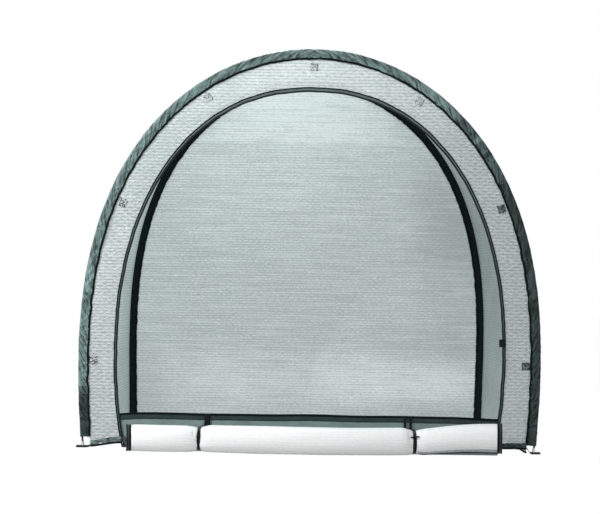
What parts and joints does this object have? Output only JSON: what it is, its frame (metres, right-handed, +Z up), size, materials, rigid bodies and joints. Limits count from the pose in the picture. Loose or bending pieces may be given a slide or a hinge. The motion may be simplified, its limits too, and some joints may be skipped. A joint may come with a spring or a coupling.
{
  "type": "frost protection tent",
  "caption": "Frost protection tent of bent hoops in cloth sleeves under a film cover, with an arched zip door rolled down at the threshold.",
  "frame": {"origin": "on the ground under the middle of the tent's outer box, rolled door included", "axes": "+X to the right seen from the front, +Y to the rear, +Z up"},
  "size_m": [2.016, 1.1648, 1.8165],
  "materials": {
    "fibreglass_rod": "satin black fibreglass",
    "zinc_steel": "zinc plated",
    "grey_green_polyester": "coated woven polyester",
    "dark_tape": "woven tape",
    "reinforced_film": "translucent reinforced film",
    "black_webbing": "woven webbing",
    "black_plastic": "moulded, satin",
    "black_elastic": "braided elastic cord"
  },
  "bodies": {
    "tent": {"front_rod_section_1": "fibreglass_rod", "front_rod_section_2": "fibreglass_rod", "front_rod_section_3": "fibreglass_rod", "front_rod_section_4": "fibreglass_rod", "front_rod_section_5": "fibreglass_rod", "front_ferrule_1": "zinc_steel", "front_ferrule_2": "zinc_steel", "front_ferrule_3": "zinc_steel", "front_ferrule_4": "zinc_steel", "front_tip_left": "zinc_steel", "front_eyelet_left": "zinc_steel", "front_corner_strap_left": "black_webbing", "front_tip_right": "zinc_steel", "front_eyelet_right": "zinc_steel", "front_corner_strap_right": "black_webbing", "front_sleeve": "grey_green_polyester", "front_sleeve_piping": "dark_tape", "rear_rod_section_1": "fibreglass_rod", "rear_rod_section_2": "fibreglass_rod", "rear_rod_section_3": "fibreglass_rod", "rear_rod_section_4": "fibreglass_rod", "rear_rod_section_5": "fibreglass_rod", "rear_ferrule_1": "zinc_steel", "rear_ferrule_2": "zinc_steel", "rear_ferrule_3": "zinc_steel", "rear_ferrule_4": "zinc_steel", "rear_tip_left": "zinc_steel", "rear_eyelet_left": "zinc_steel", "rear_corner_strap_left": "black_webbing", "rear_tip_right": "zinc_steel", "rear_eyelet_right": "zinc_steel", "rear_corner_strap_right": "black_webbing", "rear_sleeve": "grey_green_polyester", "rear_sleeve_piping": "dark_tape", "canopy_film": "reinforced_film", "front_wall_film": "reinforced_film", "rear_wall_film": "reinforced_film", "door_roll": "reinforced_film", "front_hem_left": "grey_green_polyester", "front_hem_right": "grey_green_polyester", "side_hem_left": "grey_green_polyester", "side_hem_right": "grey_green_polyester", "rear_hem": "grey_green_polyester", "sill_panel": "grey_green_polyester", "sill_binding": "dark_tape", "zip_tape": "dark_tape", "door_zip_tape_left": "dark_tape", "door_zip_tape_right": "dark_tape", "sill_loop_left": "black_webbing", "tie_strap_left": "black_webbing", "tie_elastic_left": "black_elastic", "sill_loop_right": "black_webbing", "tie_strap_right": "black_webbing", "tie_elastic_right": "black_elastic"},
    "toggle_left": {"toggle_left": "black_plastic"},
    "toggle_right": {"toggle_right": "black_plastic"},
    "zip_pull_left": {"zip_pull_left": "zinc_steel"},
    "zip_pull_right": {"zip_pull_right": "zinc_steel"},
    "zip_slider_left": {"zip_slider_left": "zinc_steel"},
    "zip_slider_right": {"zip_slider_right": "zinc_steel"}
  },
  "joints": [
    {"name": "toggle_left_turn", "type": "hinge", "parent": "tent", "child": "toggle_left", "pos_m": [-0.4665, -0.57126, 0.08363], "axis": [0, 0.866, -0.5], "range_deg": [-90, 90]},
    {"name": "toggle_right_turn", "type": "hinge", "parent": "tent", "child": "toggle_right", "pos_m": [0.4475, -0.57126, 0.08363], "axis": [0, 0.866, -0.5], "range_deg": [-90, 90]},
    {"name": "zip_slider_left_run", "type": "slide", "parent": "tent", "child": "zip_slider_left", "axis": [-0.1795, 0, 0.9838], "range_m": [0, 0.075]},
    {"name": "zip_slider_right_run", "type": "slide", "parent": "tent", "child": "zip_slider_right", "axis": [0.1795, 0, 0.9838], "range_m": [0, 0.075]},
    {"name": "zip_pull_left_flip", "type": "hinge", "parent": "zip_slider_left", "child": "zip_pull_left", "pos_m": [-0.80031, -0.44181, 0.03911], "axis": [-0.9838, 0, -0.1795], "range_deg": [0, 170]},
    {"name": "zip_pull_right_flip", "type": "hinge", "parent": "zip_slider_right", "child": "zip_pull_right", "pos_m": [0.80031, -0.44181, 0.03911], "axis": [-0.9838, 0, 0.1795], "range_deg": [0, 170]}
  ]
}
